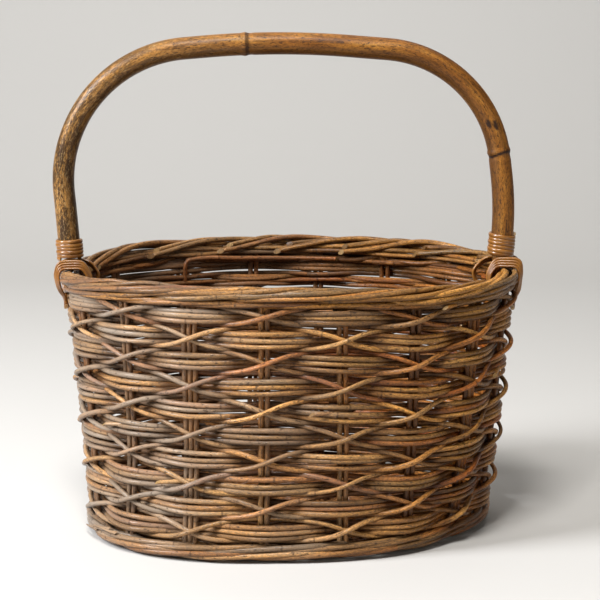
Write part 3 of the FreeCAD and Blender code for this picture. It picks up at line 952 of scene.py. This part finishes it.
# The middle line of the pole: its legs' lower ends and knees, its corners and its crown.
LEFT_LEG = ((-174.5 * MM, TONGUE_LOW), (-185 * MM, 267 * MM))
RIGHT_LEG = ((168 * MM, TONGUE_LOW), (178 * MM, 267 * MM))
LEFT_CORNER = (-196 * MM, 385.5 * MM)
CROWN = (-9 * MM, 401.5 * MM)
RIGHT_CORNER = (162.5 * MM, 388 * MM)
# The radii of the bends at the knees, the corners and the crown.
KNEE_BEND = 260 * MM
LEFT_BEND = 110 * MM
CROWN_BEND = 720 * MM
RIGHT_BEND = 101 * MM
# Below its shoulder each foot is a tongue this far inside the wall's middle and this thick, which
# thins to a third over its lowest part.
SHOULDER = 225 * MM
TONGUE_INSET = 7.7 * MM
TONGUE_THICK = 5.6 * MM
TONGUE_TAPER = 60 * MM
# Where the growth rings are, one on the crown and one on the right leg, and a scar above that one.
CROWN_RING_X = -36 * MM
LEG_RING_HEIGHT = 312 * MM
SCAR_HEIGHT = 335 * MM
RING_SWELL = 0.6 * MM
RING_GROOVE = 0.35 * MM
DEPTH = np.array([0.0, 1.0, 0.0])


def rounded(corners, radii, step):
    """Points along straight runs through the corners, joined by arcs of the given radii."""
    points, start = [], corners[0]
    for before, corner, after, radius in zip(corners, corners[1:], corners[2:], radii):
        u = (before - corner) / np.linalg.norm(before - corner)
        v = (after - corner) / np.linalg.norm(after - corner)
        half_turn = (math.pi - math.acos(float(np.dot(u, v)))) / 2
        cut = radius * math.tan(half_turn)
        first, last = corner + u * cut, corner + v * cut
        middle = corner + (u + v) / np.linalg.norm(u + v) * radius / math.cos(half_turn)
        points += list(np.linspace(start, first, 12))
        for w in np.linspace(-1, 1, 40):
            arm = first * (1 - w) / 2 + last * (1 + w) / 2 - middle
            points.append(middle + arm / np.linalg.norm(arm) * radius)
        start = last
    points += list(np.linspace(start, corners[-1], 12))
    return even_steps(np.array(points), step)


def pole_path():
    line = [*LEFT_LEG, LEFT_CORNER, CROWN, RIGHT_CORNER, *reversed(RIGHT_LEG)]
    corners = [np.array([x, 0.0, z]) for x, z in line]
    return rounded(corners, [KNEE_BEND, LEFT_BEND, CROWN_BEND, RIGHT_BEND, KNEE_BEND], 1.0 * MM)


def right_leg_at(points, height):
    """The number of the point at a height on the right leg."""
    return int(np.argmin(np.abs(points[:, 2] - height) + (points[:, 0] < 0)))


def make_pole():
    """One bent rattan pole with growth rings, cut to a tongue inside the wall at both feet."""
    points = pole_path()
    direction, _, _ = frames_along(points)
    n, sides = len(points), 48
    along = lengths_along(points)
    around = 2 * math.pi * np.arange(sides) / sides
    radius = POLE_RADIUS * (1 + 0.012 * smooth_noise(along, 3, 0.21))
    dark = np.zeros((n, sides))
    crown = int(np.argmin(np.abs(points[:, 0] - CROWN_RING_X)))
    leg = right_leg_at(points, LEG_RING_HEIGHT)
    uneven = (1.3 * np.sin(around) + 0.5 * np.sin(3 * around + 1)) * MM
    # Each ring's place, width and tilt, and the width and darkness of the line beside it.
    for centre, width, tilt, line_width, darkness in (
        (crown, 2.1 * MM, 0 * uneven, 1.5 * MM, 0.65),
        (leg, 1.8 * MM, uneven, 1.0 * MM, 1.0),
    ):
        away = (along - along[centre]) / width
        radius = radius + RING_SWELL * np.exp(-away**2) - RING_GROOVE * np.exp(-((away - 2.2) ** 2))
        line = (along[:, None] - along[centre] - width - tilt[None, :]) / line_width
        dark = np.maximum(dark, darkness * np.clip(1.6 - line**2, 0, 1))
    scar = right_leg_at(points, SCAR_HEIGHT)
    # Each stroke of the scar: how far up, how far round as a part of half a turn, and its length.
    for shift, turned, length in ((0.0, 0.93, 4.4 * MM), (3.4 * MM, 1.10, 4.8 * MM)):
        over = ((along - along[scar] - shift) / length)[:, None]
        beside = (around - turned * math.pi)[None, :] / 0.24
        dark = np.maximum(dark, 0.95 * np.clip(2.0 - 1.8 * (over**2 + beside**2), 0, 1))

    inward = np.cross(DEPTH, direction)
    arm = np.cos(around)[None, :, None] * DEPTH + np.sin(around)[None, :, None] * inward[:, None, :]
    ring = points[:, None, :] + arm * radius[:, None, None]
    for i in np.nonzero(points[:, 2] < SHOULDER)[0]:
        side = math.copysign(1, points[i, 0])
        face = section(points[i, 2])[0] - TONGUE_INSET
        thin = np.clip((points[i, 2] - TONGUE_LOW) / TONGUE_TAPER, 0.35, 1)
        ring[i, :, 0] = side * np.clip(np.abs(ring[i, :, 0]), face - TONGUE_THICK * thin, face)

    rods = Rods()
    # The pole's tone is how far each side faces into the bend, where it is darkened as painted shade.
    inside = np.clip(1.8 * np.sin(around) - 0.15, 0, 1)
    tone = np.tile(np.stack([inside, inside, inside, np.ones(sides)], axis=-1), (n, 1))
    grain = unrolled(around, radius, along)
    rods.shell(ring, grain, tone, dark.ravel(), np.zeros((n, sides)), outward=False)
    rods.faces += [list(range(sides)), [(n - 1) * sides + s for s in reversed(range(sides))]]
    rods.piece("bent_pole", POLE, "pole", "handle_pole")


def leg_axis(side):
    """The lower end of a leg and the leg's direction."""
    low, knee = (np.array([x, 0.0, z]) for x, z in (LEFT_LEG if side < 0 else RIGHT_LEG))
    return low, (knee - low) / np.linalg.norm(knee - low)


CANE_RADIUS = 1.1 * MM
WINDING_PITCH = 2.85 * MM
# Each binding's turns and the height where it starts, by the side that it is on.
WINDINGS = {-1: (5.35, 222.5 * MM), 1: (6.3, 226 * MM)}


def make_binding(side, label):
    """Cane wound around the pole just above the rim, a little unevenly."""
    rods = Rods()
    low, axis = leg_axis(side)
    outward = np.cross(DEPTH, axis)
    turns, start = WINDINGS[side]
    angle = np.linspace(0, 2 * math.pi * turns, int(turns * 44)) + rng.uniform(0, 6)
    lap = (angle - angle[0]) / (2 * math.pi)
    rise = start + lap * WINDING_PITCH + 0.25 * MM * smooth_noise(lap, 5 + side, 0.9)
    gap = POLE_RADIUS + 1.15 * MM + 0.3 * MM * smooth_noise(lap, 8 + side, 1.3)
    centre = low[None, :] + axis[None, :] * ((rise - low[2]) / axis[2])[:, None]
    arm = np.cos(angle)[:, None] * DEPTH + np.sin(angle)[:, None] * outward
    points = centre + arm * gap[:, None]
    rods.add(points, CANE_RADIUS, new_tone(0.3, 0.9), wide=1.6, flat=arm, sides=12, cut=0.4)
    rods.piece("cane_" + label, CANE, "cane", label)


def make_lashing(side, way, label):
    """Strands of cane side by side that arch over the rim beside the pole, one set in front of it
    and one behind, whose outer ends cross below the rim."""
    rods = Rods()
    quarter = 0.25 if side > 0 else 0.75
    strands = 4 if way < 0 else 3
    bulge = 11.0 if side > 0 and way > 0 else 5.0 if way > 0 else 0.0
    wide = 1.0 if side < 0 else 0.6
    for i in range(strands):
        nest = i * 1.9
        beside = 10.4 + 1.4 * (strands - 1 - i)
        # Rows of place, then the way along the wall, outward and height in millimetres.
        keys = [
            (0.0, -5.0, 6.6 + nest * 0.15, 183.0 - i),
            (0.7, 3.0, 6.9 + nest * 0.2, 189.0),
            (1.6, 9.5, 8.6 + nest * 0.35, 199.0),
            (2.6, beside + 0.6, 9.2 + nest * 0.45 * wide, 211.0),
            (3.3, beside, 8.8 + nest * 0.5 * wide, 219.0 + nest * 0.3),
            (4.0, beside - 0.3, 6.4 + nest * 0.3, 224.6 + nest * 0.85),
            (4.9, beside - 0.2, -2.5, 225.8 + nest),
            (5.8, beside - 0.2, -11.2 - nest * 0.3 - bulge * 0.7, 224.6 + nest * 0.85),
            (6.5, beside + 0.2, -14.4 - nest * 0.5 - bulge, 218.0 + nest * 0.3),
            (7.3, beside + 0.8, -14.0 - nest * 0.4 - bulge, 208.0),
            (8.3, beside + 0.4, -11.0 - nest * 0.3 - bulge * 0.5, 198.0),
            (9.1, beside - 2.0, -7.0, 190.0 - i),
        ]
        place = np.linspace(0, 9.1, 90)
        values = spline(keys, place)
        turn = quarter + side * way * values[:, 0] * MM / GIRTH
        points = even_steps(on_wall(turn, values[:, 1] * MM, values[:, 2] * MM), 1.6 * MM)
        middle = on_wall(quarter + side * way * beside * MM / GIRTH, 0.0, 212 * MM)
        away = points - middle
        away[:, 1] = 0
        away /= np.maximum(np.linalg.norm(away, axis=1), 1e-6)[:, None]
        rods.add(points, CANE_RADIUS, new_tone(0.3, 0.9), wide=1.5, flat=away, cut=0.4)
    rods.piece("cane_" + label, CANE, "cane", label)


def make_handle():
    make_pole()
    for side, end in ((-1, "left"), (1, "right")):
        make_binding(side, "handle_binding_" + end)
        make_lashing(side, -1, f"lashing_{end}_front")
        make_lashing(side, 1, f"lashing_{end}_back")


# ---- the whole basket

make_stakes()
for row in range(ROWS):
    make_row(row)
    make_crossing(row)
make_wale("foot_wale", 0.1 * MM, 2, 2.3 * MM, WEAVE, "weave")
make_wale("top_wale", 201.2 * MM, 1, 2.1 * MM, RIM, "rim")
make_border()
make_strays()
make_cross_sticks()
make_long_sticks()
make_mat()
make_handle()


# ---- floor, light and camera

FLOOR_REACH = 9.0
SWEEP_START = 1.3
SWEEP_RADIUS = 0.9
SWEEP_TOP = 4.0


def make_backdrop():
    """A pale floor that curves up behind the basket."""
    rows = [(-FLOOR_REACH, 0.0), (SWEEP_START, 0.0)]
    for angle in np.linspace(0.1, math.pi / 2, 14):
        y = SWEEP_START + SWEEP_RADIUS * math.sin(angle)
        rows.append((y, SWEEP_RADIUS - SWEEP_RADIUS * math.cos(angle)))
    rows.append((SWEEP_START + SWEEP_RADIUS, SWEEP_TOP))
    corners = [(x, y, z) for y, z in rows for x in (-FLOOR_REACH, FLOOR_REACH)]
    faces = [(2 * i, 2 * i + 1, 2 * i + 3, 2 * i + 2) for i in range(len(rows) - 1)]
    plain = Maker("studio_floor")
    plain.shader.inputs["Base Color"].default_value = (0.56, 0.55, 0.53, 1)
    plain.shader.inputs["Roughness"].default_value = 0.85
    put("studio_floor", smooth_mesh("studio_floor", corners, faces, plain.material))


def make_light(name, location, target, size, power, colour):
    data = bpy.data.lights.new(name, "AREA")
    data.shape = "RECTANGLE"
    data.size, data.size_y = size
    data.energy = power
    data.color = colour
    light = put(name, data)
    light.location = location
    light.rotation_euler = (Vector(target) - Vector(location)).to_track_quat("-Z", "Y").to_euler()


def make_lights():
    middle = (0, 0, 0.16)
    make_light("window", (-1.6, -0.75, 1.25), middle, (0.6, 0.9), 66, (0.96, 0.97, 1.0))
    make_light("overhead", (-0.2, -0.9, 1.95), middle, (0.5, 0.5), 37, (1.0, 0.98, 0.95))
    make_light("fill", (1.6, -1.5, 0.8), middle, (0.8, 0.8), 4, (1.0, 0.93, 0.84))
    make_light("behind", (0.0, 1.0, 2.6), (0, 2.2, 0.8), (2.5, 1.0), 22, (1.0, 0.99, 0.97))
    world = bpy.data.worlds.new("studio")
    world.use_nodes = True
    glow = world.node_tree.nodes["Background"].inputs
    glow["Color"].default_value = (1.0, 0.95, 0.88, 1)
    glow["Strength"].default_value = 0.08
    bpy.context.scene.world = world


CAMERA_DISTANCE = 1.462
CAMERA_ASIDE = 9.2 * MM
CAMERA_HEIGHT = 0.4353
CAMERA_PITCH = 0.168
CAMERA_YAW = 0.02
FOCAL_SHARE = 1779.6 / 600


def make_camera():
    data = bpy.data.cameras.new("camera")
    data.sensor_width = 36
    data.lens = 36 * FOCAL_SHARE
    camera = put("camera", data)
    c, s = math.cos(CAMERA_YAW), math.sin(CAMERA_YAW)
    x, y = CAMERA_ASIDE * c + CAMERA_DISTANCE * s, CAMERA_ASIDE * s - CAMERA_DISTANCE * c
    camera.location = (x, y, CAMERA_HEIGHT)
    camera.rotation_euler = (math.pi / 2 - CAMERA_PITCH, 0, CAMERA_YAW)
    bpy.context.scene.camera = camera


make_backdrop()
make_lights()
make_camera()
bpy.context.scene.view_settings.view_transform = "Standard"
